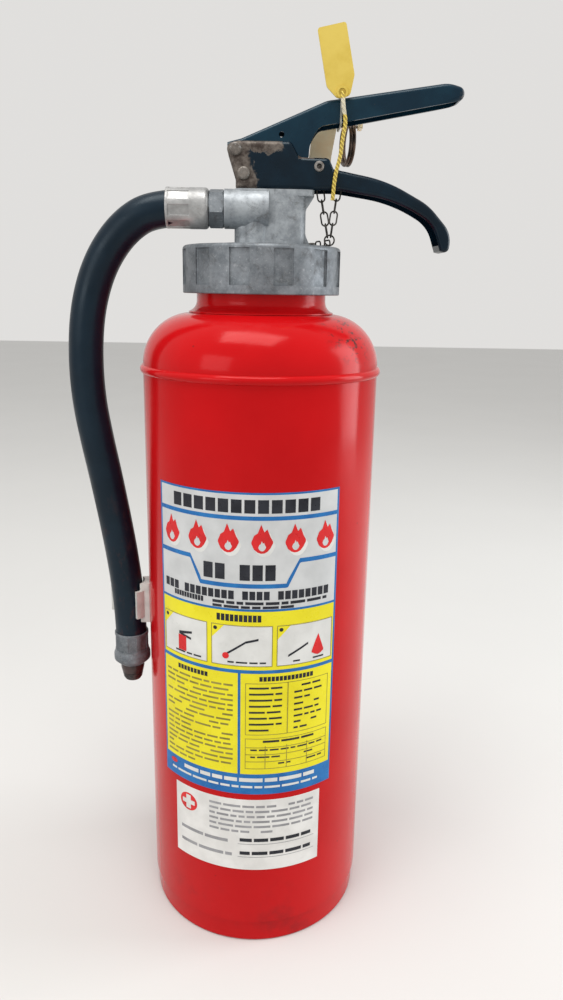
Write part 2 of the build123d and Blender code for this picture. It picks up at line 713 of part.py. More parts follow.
# Soft plug pushed into the nozzle's mouth to keep damp out.
plug_low = 165.8
plug_shape = [(0, nozzle_mouth + 6, 0), (3.2, nozzle_mouth + 6, 0.6), (4.15, nozzle_mouth + 4, 0.4),
              (4.15, nozzle_mouth - 0.05, 0), (7.2, nozzle_mouth - 0.05, 0.5),
              (7.2, nozzle_mouth - 1.5, 0.5), (6.5, nozzle_mouth - 2.1, 0.2),
              (6.8, nozzle_mouth - 2.7, 0.4), (6.6, nozzle_mouth - 3.9, 0.4),
              (5.9, nozzle_mouth - 4.4, 0.2), (5.9, plug_low, 1.2), (0, plug_low, 0)]
with BuildPart() as nozzle_plug:
    with BuildSketch(nozzle_plane):
        with BuildLine():
            FilletPolyline(*points(plug_shape), radius=radii(plug_shape), close=True)
        make_face()
    revolve(axis=nozzle_axis)
finish(nozzle_plug, "nozzle_plug")

# ---- hose clip ------------------------------------------------------------------
clip_xy = (-92.2, -3.2)
clip_bore = 11.75
clip_wall = 2.6
clip_low, clip_high = 217.0, 237.0
arm_far, arm_near = 158.0, -58.0      # the open side faces front and left
with BuildPart() as hose_clip:
    with BuildSketch(Plane.XY.offset(clip_low)):
        with Locations(clip_xy):
            Circle(clip_bore + clip_wall)
    extrude(amount=clip_high - clip_low)
    with BuildSketch(Plane.XY.offset(clip_low - 4)):
        with Locations((-79.5, clip_xy[1])):
            RectangleRounded(8.0, 15.0, 1.5)
    extrude(amount=clip_high - clip_low + 9)
    with BuildSketch(Plane.XY.offset(clip_low - 4)):
        Circle(body_r + 0.02)
        with Locations(clip_xy):
            Circle(clip_bore)
    extrude(amount=clip_high - clip_low + 9, mode=Mode.SUBTRACT)
    with BuildSketch(Plane.XY.offset(clip_low)):
        with BuildLine():
            far_x = clip_xy[0] + 30 * math.cos(math.radians(arm_far))
            far_y = clip_xy[1] + 30 * math.sin(math.radians(arm_far))
            near_x = clip_xy[0] + 30 * math.cos(math.radians(arm_near))
            near_y = clip_xy[1] + 30 * math.sin(math.radians(arm_near))
            Polyline(clip_xy, (far_x, far_y), (far_x, near_y), (near_x, near_y), clip_xy)
        make_face()
    extrude(amount=clip_high - clip_low, mode=Mode.SUBTRACT)
    with BuildSketch(Plane.YZ.offset(-90)):
        with Locations((clip_xy[1], 227.0)):
            Circle(3.1)
    extrude(amount=20, mode=Mode.SUBTRACT)
finish(hose_clip, "hose_clip")

# Stud welded to the cylinder, its flared end flush in the clip's base.
with BuildPart() as clip_stud:
    with BuildSketch(Plane.YZ.offset(-80.4)):
        with Locations((clip_xy[1], 227.0)):
            Circle(3.0)
    extrude(amount=3.9)
    with BuildSketch(Plane.XY.offset(200)):
        Circle(body_r + 0.02)
    extrude(amount=60, mode=Mode.SUBTRACT)
finish(clip_stud, "clip_stud")

# ---- safety pin, pull tab and pull ring -------------------------------------------
pin_near = -12.7
pin_far = 17.0
with BuildPart() as safety_pin:
    with BuildSketch(side_plane(pin_far)):
        with Locations((pin_x, pin_z)):
            Circle(pin_r)
    extrude(amount=pin_far - pin_near)
    chamfer(safety_pin.edges().group_by(Axis.Y)[0], length=0.5)
    with BuildSketch(side_plane(pin_near + 5)):
        with Locations((pin_x, pin_z)):
            Circle(1.6)
    extrude(amount=5, mode=Mode.SUBTRACT)
    with BuildSketch(side_plane(pin_far)):
        with Locations((pin_x, pin_z)):
            Circle(4.6)
    extrude(amount=pin_far - tab_y - tab_thick)
finish(safety_pin, "safety_pin")

# Plastic tab on the far side, standing up beside the lever, with two ears on its
# outer face that carry the ring's hinge bar.
ear_x = (51.6, 62.3)
ring_bar_x = 56.0
ear_thick = 2.2
tab_shape = [(27.0, 507.8, 5.5), (29.8, 526.0, 12.0), (32.4, 549.6, 4.0), (63.6, 549.6, 2.0),
             (63.6, 544.4, 1.5), (46.8, 543.0, 2.5), (43.8, 525.0, 12.0), (42.4, 507.8, 5.5)]
with BuildPart() as pin_tab:
    with BuildSketch(side_plane(tab_y + tab_thick)):
        with BuildLine():
            FilletPolyline(*points(tab_shape), radius=radii(tab_shape), close=True)
        make_face()
        with Locations((pin_x, pin_z)):
            Circle(pin_r, mode=Mode.SUBTRACT)
    extrude(amount=tab_thick)
    for x in ear_x:
        with BuildSketch(Plane.YZ.offset(x - ear_thick / 2)):
            with Locations((ring_bar_y, ring_bar_z)):
                Circle(2.6)
            with Locations(((tab_y + tab_thick + ring_bar_y) / 2, ring_bar_z)):
                Rectangle(ring_bar_y - tab_y - tab_thick, 5.2)
            with Locations((ring_bar_y, ring_bar_z)):
                Circle(1.2, mode=Mode.SUBTRACT)
        extrude(amount=ear_thick)
finish(pin_tab, "pin_tab")

with BuildPart() as ring_hinge_bar:
    with BuildSketch(Plane.YZ.offset(ear_x[0] - 1.8)):
        with Locations((ring_bar_y, ring_bar_z)):
            Circle(1.2)
    extrude(amount=ear_x[1] - ear_x[0] + 3.6)
finish(ring_hinge_bar, "ring_hinge_bar")

# A split ring of two turns hangs on the bar and leans towards the tab.
ring_wire_r = 1.1
ring_mean_r = 13.0
ring_reach = ring_mean_r - ring_wire_r - 1.2 - 0.25
ring_out = 4.0
ring_drop = math.sqrt(ring_reach ** 2 - (ring_out / math.cos(math.radians(ring_turn))) ** 2)
ring_normal = Vector(math.cos(math.radians(ring_turn)), math.sin(math.radians(ring_turn)), 0)
ring_along = Vector(-math.sin(math.radians(ring_turn)), math.cos(math.radians(ring_turn)), 0)
ring_bar = Vector(ring_bar_x, ring_bar_y, ring_bar_z)
ring_shift = ring_out / math.cos(math.radians(ring_turn))
ring_centre = ring_bar + ring_along * ring_shift - Vector(0, 0, ring_drop)
with BuildPart() as pull_ring:
    for side in (-1, 1):
        centre = ring_centre + ring_normal * (side * (ring_wire_r + 0.02))
        with BuildSketch(Plane(origin=centre, x_dir=ring_along, z_dir=(0, 0, 1))):
            with Locations((ring_mean_r, 0)):
                Circle(ring_wire_r)
        revolve(axis=Axis(centre, ring_normal))
finish(pull_ring, "pull_ring")
print("pull ring centre", ring_centre, "hinge axis", ring_normal)

# ---- retaining chain ---------------------------------------------------------------
link_length = 9.4
link_width = 5.4
link_wire_r = 0.5
thread = 2 * link_wire_r + 0.06      # between the centres of two wires that touch


def strand(start, end, count, first_flat, low=0.0):
    """Planes of the links from start to end; the links turn a quarter one to the next.

    A link whose plane holds the Y or Z axis stands; the other sort lies flat, low below.
    """
    start, end = Vector(*start), Vector(*end)
    along = (end - start).normalized()
    side = Vector(0, 0, 1) if abs(along.Z) < 0.5 else Vector(0, 1, 0)
    reach = link_length - 2 * link_wire_r
    pitch = ((end - start).length - reach) / (count - 1)
    planes = []
    for step in range(count):
        flat = (step % 2 == 0) == first_flat
        centre = start + along * (reach / 2 + step * pitch)
        normal = side if flat else along.cross(side)
        drop = Vector(0, 0, low) if flat else Vector(0, 0, 0)
        planes.append(Plane(origin=centre - drop, x_dir=along, z_dir=normal))
    return planes


chain_ring = Vector(*chain_ring_xyz)
inside = chain_ring_r - thread
pin_loop_r = 4.3
pin_loop_z = pin_z - 0.7
eye_x = 47.6
eye_low = 504.3
lie_z = chain_ring.Z - chain_ring_r + 1.05
lie = Vector(chain_screw_xy[0] - chain_ring.X, chain_screw_xy[1], 0).normalized()
lie_start = Vector(chain_ring.X, 0, lie_z) - lie * thread
lie_end = Vector(*chain_screw_xy, lie_z) + lie * (chain_screw_r + link_wire_r + 0.06)
chain_links = strand((pin_x, 0, pin_loop_z - pin_loop_r + thread),
                     (chain_ring.X - 0.6 * inside, 0, chain_ring.Z + 0.8 * inside), 5, False)
chain_links += strand((eye_x, 0, eye_low + thread + 0.1),
                      (chain_ring.X + 0.35 * inside, 0, chain_ring.Z + 0.937 * inside), 4, True)
chain_links += strand(tuple(lie_start), tuple(lie_end), 4, False, low=1.1)
with BuildPart() as retaining_chain:
    for plane in chain_links:
        half_run = (link_length - link_width) / 2
        bow = link_width / 2 - link_wire_r
        with BuildLine(plane):
            Line((-half_run, bow), (half_run, bow))
            CenterArc((half_run, 0), bow, 90, -180)
            Line((half_run, -bow), (-half_run, -bow))
            CenterArc((-half_run, 0), bow, -90, -180)
        seam = plane.from_local_coords(Vector(0, bow, 0))
        with BuildSketch(Plane(origin=seam, z_dir=plane.x_dir)):
            Circle(link_wire_r)
        sweep()
    for centre, radius in ((chain_ring, chain_ring_r), (Vector(pin_x, 0, pin_loop_z), pin_loop_r)):
        with BuildSketch(Plane(origin=centre, x_dir=(1, 0, 0), z_dir=(0, 0, 1))):
            with Locations((radius, 0)):
                Circle(link_wire_r)
        revolve(axis=Axis(centre, (0, 1, 0)))
finish(retaining_chain, "retaining_chain")

# Wire staple brazed under the handle's web, which the second strand hangs from.
staple_half = 2.2
with BuildPart() as chain_eye:
    with BuildLine(Plane.YZ.offset(eye_x)):
        Line((-staple_half, 511.4), (-staple_half, eye_low + staple_half))
        CenterArc((0, eye_low + staple_half), staple_half, 180, 180)
        Line((staple_half, eye_low + staple_half), (staple_half, 511.4))
    with BuildSketch(Plane(origin=(eye_x, -staple_half, 511.4), z_dir=(0, 0, -1))):
        Circle(0.6)
    sweep()
finish(chain_eye, "chain_eye")

with BuildPart() as chain_screw:
    with BuildSketch(Plane.XY.offset(cap_top - chain_screw_grip)):
        with Locations(chain_screw_xy):
            Circle(chain_screw_r)
    extrude(amount=chain_screw_grip + 2.7)
    with BuildSketch(Plane.XY.offset(cap_top + 2.7)):
        with Locations(chain_screw_xy):
            Circle(3.0)
    extrude(amount=1.9)
    fillet(chain_screw.edges().group_by(Axis.Z)[-1], radius=0.9)
    with BuildSketch(Plane.XY.offset(cap_top + 3.8)):
        with Locations(chain_screw_xy):
            Rectangle(6.4, 0.8, rotation=35)
    extrude(amount=1, mode=Mode.SUBTRACT)
finish(chain_screw, "chain_screw")

# ---- pull-tight seal ---------------------------------------------------------------
# A flat flag beside the lever, a strap round the lever and a tail that hangs free.
flag_near, flag_far = -12.4, -11.0
flag_eye = (47.1, 556.8)
flag_shape = [(31.3, 590.6, 1.6), (48.0, 594.4, 1.6), (54.1, 566.4, 3.0), (51.9, 555.2, 3.0),
              (44.3, 553.4, 3.0), (37.7, 559.6, 4.0)]
with BuildPart() as seal_flag:
    with BuildSketch(side_plane(flag_far)):
        with BuildLine():
            FilletPolyline(*points(flag_shape), radius=radii(flag_shape), close=True)
        make_face()
    extrude(amount=flag_far - flag_near)
    with BuildSketch(side_plane(flag_far + 1.6)):
        with Locations(flag_eye):
            Circle(2.0)
    extrude(amount=1.6)
    with BuildSketch(side_plane(flag_near)):
        with Locations(flag_eye):
            Circle(3.5)
            Circle(2.2, mode=Mode.SUBTRACT)
    extrude(amount=0.8)
finish(seal_flag, "seal_flag")

strap_r = 0.6
strap_half = 10.1
strap_low = 539.0
with BuildPart() as seal_strap:
    with BuildLine(Plane.YZ.offset(flag_eye[0])):
        FilletPolyline((-strap_half, strap_low), (strap_half, strap_low),
                       (strap_half, flag_eye[1]), (-strap_half, flag_eye[1]),
                       radius=[3.0, 3.0, 3.0, 3.0], close=True)
    with BuildSketch(Plane(origin=(flag_eye[0], 0, strap_low), z_dir=(0, 1, 0))):
        Circle(strap_r)
    sweep()
finish(seal_strap, "seal_strap")

tail_start = Vector(*tail_route[0])
with BuildPart() as seal_tail:
    with BuildLine():
        FilletPolyline(*tail_route, radius=route_radii(tail_route))
    with BuildSketch(Plane(origin=tail_start, z_dir=Vector(*tail_route[1]) - tail_start)):
        Circle(tail_r)
    sweep()
finish(seal_tail, "seal_tail")
report_tube("seal tail", tail_route, seal_tail.part, math.pi * tail_r ** 2)

# ---- label and sticker ---------------------------------------------------------------
# Skins on the cylinder; angles run from the front (-Y) towards +X.
skin_gap = 0.02
skin = 0.2


def radial_plane(angle):
    """Plane through the Z axis whose x axis points outwards at the angle."""
    outwards = Vector(math.sin(math.radians(angle)), -math.cos(math.radians(angle)), 0)
    return Plane(origin=(0, 0, 0), x_dir=outwards, z_dir=outwards.cross(Vector(0, 0, 1)))


label_left, label_right = -53.5, 40.0
label_low, label_high = 119.8, 325.9
with BuildPart() as main_label:
    with BuildSketch(radial_plane(label_left)):
        with Locations((body_r + skin_gap + skin / 2, (label_low + label_high) / 2)):
            Rectangle(skin, label_high - label_low)
    revolve(axis=Axis.Z, revolution_arc=label_right - label_left)
finish(main_label, "main_label")

sticker_left, sticker_right = -45.2, 33.8
sticker_low, sticker_high = 60.5, 115.4
with BuildPart() as service_sticker:
    with BuildSketch(radial_plane(sticker_left)):
        with Locations((body_r + skin_gap + skin / 2, (sticker_low + sticker_high) / 2)):
            Rectangle(skin, sticker_high - sticker_low)
    revolve(axis=Axis.Z, revolution_arc=sticker_right - sticker_left)
finish(service_sticker, "service_sticker")
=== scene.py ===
"""Look of the fire extinguisher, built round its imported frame. Metres, +Z up."""
import json
import math
import random

import bpy
from mathutils import Matrix, Vector


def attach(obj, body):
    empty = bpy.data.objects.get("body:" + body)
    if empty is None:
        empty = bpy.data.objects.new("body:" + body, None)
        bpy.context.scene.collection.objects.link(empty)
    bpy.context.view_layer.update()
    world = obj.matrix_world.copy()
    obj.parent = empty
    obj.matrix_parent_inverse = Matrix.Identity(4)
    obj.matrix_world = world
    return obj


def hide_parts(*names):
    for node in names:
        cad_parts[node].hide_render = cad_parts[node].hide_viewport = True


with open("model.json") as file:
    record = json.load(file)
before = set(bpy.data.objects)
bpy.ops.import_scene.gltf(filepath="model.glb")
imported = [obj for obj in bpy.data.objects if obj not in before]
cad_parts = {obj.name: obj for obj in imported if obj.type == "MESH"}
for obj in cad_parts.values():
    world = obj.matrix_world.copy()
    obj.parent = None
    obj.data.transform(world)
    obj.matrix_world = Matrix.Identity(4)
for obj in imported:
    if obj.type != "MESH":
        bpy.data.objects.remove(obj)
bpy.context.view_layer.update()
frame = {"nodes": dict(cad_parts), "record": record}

nodes = frame["nodes"]
MM = 0.001
PRINT_RADIUS = 77.23       # millimetres, just outside the label's film
INK_LAYER = 0.05           # how far each ink layer stands over the one below
MM_PER_DEGREE = 1.344      # along the cylinder's wall
FACE_ANGLE = 3.0           # most degrees that one printed face spans


# ---- shader helpers -----------------------------------------------------------
class Shader:
    """A material's node tree with short calls for the nodes used here."""

    def __init__(self, name):
        self.material = bpy.data.materials.new(name)
        self.material.use_nodes = True
        self.tree = self.material.node_tree
        self.bsdf = self.tree.nodes["Principled BSDF"]
        self.place = self.tree.nodes.new("ShaderNodeTexCoord").outputs["Object"]

    def put(self, socket, value):
        """Link a node's output to the socket, or set the socket to a plain value."""
        if isinstance(value, bpy.types.NodeSocket):
            self.tree.links.new(value, socket)
        elif isinstance(value, (tuple, list)) and len(value) == 3 and socket.type == "RGBA":
            socket.default_value = (*value, 1.0)
        else:
            socket.default_value = value

    def set(self, **values):
        """Sockets of the surface by name, such as base_color."""
        names = {key.replace("_", " ").lower(): value for key, value in values.items()}
        for socket in self.bsdf.inputs:
            if socket.name.lower() in names:
                self.put(socket, names[socket.name.lower()])

    def noise(self, scale, detail=4.0, roughness=0.55, stretch=None, distortion=0.0):
        node = self.tree.nodes.new("ShaderNodeTexNoise")
        node.inputs["Scale"].default_value = scale
        node.inputs["Detail"].default_value = detail
        node.inputs["Roughness"].default_value = roughness
        node.inputs["Distortion"].default_value = distortion
        place = self.place
        if stretch:
            mapping = self.tree.nodes.new("ShaderNodeMapping")
            mapping.inputs["Scale"].default_value = stretch
            self.tree.links.new(self.place, mapping.inputs["Vector"])
            place = mapping.outputs["Vector"]
        self.tree.links.new(place, node.inputs["Vector"])
        return node.outputs["Fac"]

    def cells(self, scale):
        """Distance to the nearest of many scattered points."""
        node = self.tree.nodes.new("ShaderNodeTexVoronoi")
        node.inputs["Scale"].default_value = scale
        self.tree.links.new(self.place, node.inputs["Vector"])
        return node.outputs["Distance"]

    def math(self, operation, a, b=None):
        node = self.tree.nodes.new("ShaderNodeMath")
        node.operation = operation
        self.put(node.inputs[0], a)
        if b is not None:
            self.put(node.inputs[1], b)
        return node.outputs[0]

    def step(self, value, low, high, to_low=0.0, to_high=1.0):
        """A smooth change from to_low to to_high as the value goes from low to high."""
        node = self.tree.nodes.new("ShaderNodeMapRange")
        node.interpolation_type = "SMOOTHSTEP"
        self.put(node.inputs["Value"], value)
        node.inputs["From Min"].default_value = low
        node.inputs["From Max"].default_value = high
        node.inputs["To Min"].default_value = to_low
        node.inputs["To Max"].default_value = to_high
        return node.outputs["Result"]

    def mix(self, factor, a, b):
        node = self.tree.nodes.new("ShaderNodeMix")
        node.data_type = "RGBA"
        colour_a, colour_b, colour_out = node.inputs[6], node.inputs[7], node.outputs[2]
        self.put(node.inputs["Factor"], factor)
        self.put(colour_a, a)
        self.put(colour_b, b)
        return colour_out

    def xyz(self):
        node = self.tree.nodes.new("ShaderNodeSeparateXYZ")
        self.tree.links.new(self.place, node.inputs[0])
        return node.outputs[0], node.outputs[1], node.outputs[2]

    def near(self, point, radius):
        """1 at a point in metres, falling to 0 at the radius."""
        node = self.tree.nodes.new("ShaderNodeVectorMath")
        node.operation = "DISTANCE"
        self.tree.links.new(self.place, node.inputs[0])
        node.inputs[1].default_value = point
        return self.step(node.outputs["Value"], 0.0, radius, 1.0, 0.0)

    def bump(self, height, strength, distance=0.0002):
        node = self.tree.nodes.new("ShaderNodeBump")
        node.inputs["Strength"].default_value = strength
        node.inputs["Distance"].default_value = distance
        self.put(node.inputs["Height"], height)
        self.tree.links.new(node.outputs["Normal"], self.bsdf.inputs["Normal"])


def mottled(name, dark, light, metallic=0.0, rough=(0.3, 0.5), scale=60.0, grain=900.0,
            bump=0.25, low=0.35, high=0.65, **more):
    """Two tones in soft clouds, with roughness that varies and a fine grain."""
    s = Shader(name)
    clouds = s.step(s.noise(scale, detail=6.0), low, high)
    fine = s.noise(grain, detail=3.0)
    s.set(base_color=s.mix(clouds, dark, light), metallic=metallic,
          roughness=s.step(s.noise(scale * 2.3, detail=5.0), 0.3, 0.7, rough[0], rough[1]), **more)
    s.bump(fine, bump, 0.0001)
    return s.material


def red_paint():
    """Glossy red with grime at the foot and chips on the right of the shoulder."""
    s = Shader("red_enamel")
    _, _, z = s.xyz()
    tone = s.step(s.noise(9.0, detail=5.0), 0.3, 0.7)
    colour = s.mix(tone, (0.43, 0.0035, 0.005), (0.51, 0.005, 0.007))
    # grime that gathers near the foot
    foot = s.math("MULTIPLY", s.step(z, 0.012, 0.075, 1.0, 0.0),
                   s.step(s.noise(38.0, detail=8.0, roughness=0.65), 0.48, 0.80))
    colour = s.mix(s.math("MULTIPLY", foot, 0.6), colour, (0.20, 0.010, 0.012))
    # chips through to a dark undercoat, and a few dark specks elsewhere
    flakes = s.noise(170.0, detail=7.0, roughness=0.75, stretch=(1, 1, 1.8))
    patch = s.math("MULTIPLY", s.near((0.052, -0.042, 0.4150), 0.026),
                   s.step(flakes, 0.54, 0.59))
    patch = s.math("MULTIPLY", patch, 1.5)
    specks = s.step(s.cells(58.0), 0.040, 0.030, 0.0, 1.0)
    marks = s.math("MINIMUM", s.math("ADD", patch, s.math("MULTIPLY", specks, 0.55)), 1.0)
    colour = s.mix(marks, colour, (0.045, 0.012, 0.012))
    smear = s.step(s.noise(22.0, detail=6.0, roughness=0.6, stretch=(1, 1, 0.25)),
                   0.35, 0.75, 0.12, 0.27)
    s.set(base_color=colour, roughness=smear, specular_ior_level=0.24,
          specular_tint=(1.0, 0.45, 0.45, 1.0))
    dents = s.math("MULTIPLY", marks, -1.5)
    s.bump(s.math("ADD", s.noise(260.0, detail=2.0), dents), 0.08)
    return s.material


def dark_enamel(name, bare_area, dark, light):
    """Glossy blue-black paint, worn to dull rusty steel where bare_area(shader) is 1."""
    s = Shader(name)
    tone = s.step(s.noise(45.0, detail=5.0), 0.35, 0.7)
    colour = s.mix(tone, dark, light)
    flecks = s.step(s.noise(210.0, detail=6.0, roughness=0.75), 0.67, 0.71)
    bare = s.math("MINIMUM", s.math("ADD", bare_area(s), s.math("MULTIPLY", flecks, 0.7)), 1.0)
    rust = s.mix(s.step(s.noise(170.0, detail=7.0, roughness=0.7), 0.36, 0.64),
                 (0.050, 0.036, 0.030), (0.17, 0.145, 0.125))
    s.set(base_color=s.mix(bare, colour, rust), metallic=s.math("MULTIPLY", bare, 0.5),
          roughness=s.math("ADD", s.step(s.noise(70.0, detail=5.0), 0.3, 0.7, 0.16, 0.32),
                           s.math("MULTIPLY", bare, 0.3)),
          specular_ior_level=0.25, specular_tint=(0.75, 0.92, 1.0, 1.0))
    dents = s.math("MULTIPLY", bare, -1.4)
    s.bump(s.math("ADD", s.noise(300.0, detail=3.0), dents), 0.25)
    return s.material


def ragged_edge(s, scale, reach):
    """Noise in metres, each way from 0, that frays the border of a bare area."""
    noise = s.noise(scale, detail=8.0, roughness=0.7)
    return s.math("MULTIPLY", s.math("SUBTRACT", noise, 0.5), reach)


def bracket_wear(s):
    """Bare along the cheeks' top and rear edges, with a ragged border."""
    x, _, z = s.xyz()
    ragged = ragged_edge(s, 75.0, 0.022)
    top = s.step(s.math("ADD", z, ragged), 0.5232, 0.5242)
    ahead = s.step(s.math("ADD", x, ragged), 0.011, 0.013, 1.0, 0.0)
    rear = s.step(s.math("ADD", s.math("ADD", x, s.math("MULTIPLY", z, 0.30)), ragged),
                  0.1475, 0.1490, 1.0, 0.0)
    # chips on the edge where the cheek steps down in front of the lever
    lip = s.math("MULTIPLY", s.step(s.math("ADD", z, s.math("MULTIPLY", ragged, 0.06)),
                                    0.5196, 0.5200),
                 s.math("MULTIPLY", s.step(x, 0.0215, 0.0220),
                        s.step(x, 0.0310, 0.0320, 1.0, 0.0)))
    return s.math("MAXIMUM", s.math("MAXIMUM", s.math("MULTIPLY", top, ahead), rear), lip)


def lever_wear(s):
    """Rubbed bare at the tip."""
    x, _, _ = s.xyz()
    ragged = ragged_edge(s, 120.0, 0.02)
    tip = s.step(s.math("ADD", x, ragged), 0.1195, 0.1225)
    return s.math("MULTIPLY", tip, 0.7)


def cast_metal(name, dark, light, stain, rough=(0.46, 0.66), metallic=0.55):
    """Dull rough alloy in two tones, with pale speckles and darker stains."""
    s = Shader(name)
    clouds = s.step(s.noise(75.0, detail=10.0, roughness=0.72), 0.34, 0.66)
    colour = s.mix(clouds, dark, light)
    speckle = s.step(s.noise(620.0, detail=4.0, roughness=0.7), 0.56, 0.70)
    colour = s.mix(s.math("MULTIPLY", speckle, 0.45), colour, (0.42, 0.43, 0.44))
    stains = s.step(s.noise(110.0, detail=10.0, roughness=0.75, distortion=0.6), 0.52, 0.68)
    colour = s.mix(s.math("MULTIPLY", stains, 0.7), colour, stain)
    s.set(base_color=colour, metallic=metallic,
          roughness=s.step(s.noise(110.0, detail=6.0), 0.3, 0.7, rough[0], rough[1]))
    s.bump(s.math("ADD", s.noise(520.0, detail=4.0), s.noise(70.0, detail=4.0)), 0.35, 0.00025)
    return s.material


def hose_rubber():
    """Blue-black rubber, rubbed a little red on its lower stretch."""
    s = Shader("hose_rubber")
    _, _, z = s.xyz()
    colour = s.mix(s.step(s.noise(30.0, detail=6.0), 0.3, 0.7), (0.001, 0.006, 0.013),
                   (0.003, 0.011, 0.021))
    scrapes = s.noise(140.0, detail=7.0, roughness=0.7, stretch=(1, 1, 0.5))
    rubbed = s.math("MULTIPLY", s.step(z, 0.34, 0.25), s.step(scrapes, 0.52, 0.66))
    colour = s.mix(s.math("MULTIPLY", rubbed, 0.5), colour, (0.045, 0.018, 0.018))
    s.set(base_color=colour, roughness=s.step(s.noise(55.0, detail=6.0), 0.3, 0.7, 0.28, 0.44),
          specular_ior_level=0.26, specular_tint=(0.78, 0.92, 1.0, 1.0))
    s.bump(s.math("ADD", s.noise(700.0, detail=3.0), s.noise(90.0, detail=5.0)), 0.22)
    return s.material


def printed(name, dark, light, rough=(0.25, 0.4), metallic=0.0, scale=90.0):
    """Flat ink or paper."""
    return mottled(name, dark, light, metallic, rough, scale, grain=1500.0, bump=0.05,
                   low=0.3, high=0.7, specular_ior_level=0.25)


look = {
    "red_paint": red_paint(),
    "dark_lever_paint": dark_enamel("dark_lever_enamel", lever_wear,
                                    (0.002, 0.014, 0.028), (0.004, 0.025, 0.044)),
    "cast_metal": cast_metal("cast_alloy", (0.115, 0.130, 0.145), (0.225, 0.245, 0.265),
                             (0.085, 0.085, 0.085)),
    "bright_ferrule": cast_metal("pressed_alloy", (0.27, 0.272, 0.272), (0.45, 0.452, 0.45),
                                 (0.20, 0.185, 0.165), (0.34, 0.52)),
    "bare_steel": cast_metal("bare_steel", (0.16, 0.15, 0.14), (0.32, 0.30, 0.28),
                             (0.09, 0.055, 0.035), (0.35, 0.6)),
    "hose_rubber": hose_rubber(),
    "black_rubber": mottled("black_rubber", (0.012, 0.012, 0.013), (0.030, 0.028, 0.028),
                            rough=(0.5, 0.75), scale=120.0),
    "clip_plastic": mottled("clip_plastic", (0.47, 0.47, 0.45), (0.60, 0.60, 0.57),
                            rough=(0.35, 0.55), scale=70.0),
    "tab_plastic": mottled("tab_plastic", (0.92, 0.72, 0.44), (0.98, 0.86, 0.60),
                           rough=(0.35, 0.55), scale=80.0),
    "yellow_seal": mottled("yellow_seal", (0.58, 0.42, 0.065), (0.66, 0.50, 0.10),
                           rough=(0.35, 0.5), scale=55.0, specular_ior_level=0.3),
    "clear_seal": mottled("clear_seal", (0.20, 0.20, 0.17), (0.40, 0.39, 0.33),
                          rough=(0.2, 0.35), scale=120.0),
    "rusty_wire": mottled("rusty_wire", (0.07, 0.035, 0.02), (0.20, 0.12, 0.08), metallic=0.5,
                          rough=(0.5, 0.8), scale=260.0, bump=0.5),
    "dark_nozzle": mottled("dark_nozzle", (0.012, 0.009, 0.009), (0.045, 0.022, 0.020),
                           rough=(0.3, 0.5), scale=150.0),
    "brass_plug": mottled("brass", (0.30, 0.22, 0.09), (0.52, 0.40, 0.18), metallic=0.9,
                          rough=(0.3, 0.5), scale=140.0),
    "label_film": printed("label_blue", (0.010, 0.11, 0.34), (0.016, 0.16, 0.43)),
    "sticker_paper": printed("sticker_white", (0.62, 0.61, 0.59), (0.74, 0.73, 0.71),
                             rough=(0.5, 0.65), scale=60.0),
    "powder": mottled("powder", (0.6, 0.6, 0.5), (0.7, 0.7, 0.6)),
}
chain_steel = mottled("chain_steel", (0.030, 0.028, 0.026), (0.12, 0.11, 0.10), metallic=0.8,
                      rough=(0.35, 0.6), scale=300.0, bump=0.3)
own_look = {"retaining_chain": chain_steel, "chain_eye": chain_steel,
            "valve_body": cast_metal("body_alloy", (0.215, 0.235, 0.255), (0.40, 0.43, 0.455),
                                     (0.11, 0.11, 0.11)),
            "carry_bracket": dark_enamel("dark_bracket_enamel", bracket_wear,
                                         (0.001, 0.005, 0.011), (0.002, 0.011, 0.022)),
            "bracket_rivets": cast_metal("worn_rivet", (0.10, 0.085, 0.075), (0.24, 0.215, 0.19),
                                         (0.05, 0.038, 0.03), (0.35, 0.6)),
            "pull_ring": mottled("ring_wire", (0.030, 0.021, 0.016), (0.13, 0.085, 0.060),
                                 metallic=0.6, rough=(0.3, 0.55), scale=230.0, bump=0.4)}
for entry in frame["record"]["subparts"]:
    name = entry["node"]
    if name in nodes:
        for holder in nodes[name].material_slots:
            holder.material = own_look.get(name, look[entry["material_slot"]])


# ---- cords ---------------------------------------------------------------------
def cord(name, route, radius, material, body):
    """A smooth tube along a route in millimetres."""
    curve = bpy.data.curves.new(name, "CURVE")
    curve.dimensions = "3D"
    curve.bevel_depth = radius * MM
    curve.bevel_resolution = 8
    curve.resolution_u = 16
    curve.use_fill_caps = True
    spline = curve.splines.new("NURBS")
    spline.points.add(len(route) - 1)
    for point, place in zip(spline.points, route):
        point.co = (*(c * MM for c in place), 1.0)
    spline.order_u = 3
    spline.use_endpoint_u = True
    curve.materials.append(material)
    piece = bpy.data.objects.new(name, curve)
    bpy.context.scene.collection.objects.link(piece)
    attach(piece, body)
    return piece


hose_route = [
    (-44.0, -11.0, 490.0), (-66.0, -11.0, 490.0), (-85.0, -11.0, 479.0),
    (-100.5, -11.0, 458.0), (-109.5, -11.0, 432.0), (-113.0, -10.5, 403.0),
    (-112.5, -9.5, 372.0), (-108.5, -8.5, 345.0), (-103.0, -7.0, 314.0),
    (-98.0, -5.5, 282.0), (-94.5, -4.0, 255.0), (-92.0, -3.2, 228.0),
    (-91.0, -3.0, 204.0), (-91.0, -3.0, 184.0)]
hose = cord("hose_tube", hose_route, 11.0, look["hose_rubber"], "extinguisher")
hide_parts("hose")

tail_route = [
    (47.1, -12.4, 556.8), (47.5, -14.2, 553.2), (48.2, -14.4, 547.0), (49.8, -14.4, 540.0),
    (48.0, -14.4, 531.0), (47.2, -14.4, 521.0), (44.6, -14.4, 512.0), (43.6, -14.4, 503.0),
    (43.2, -14.4, 496.0)]


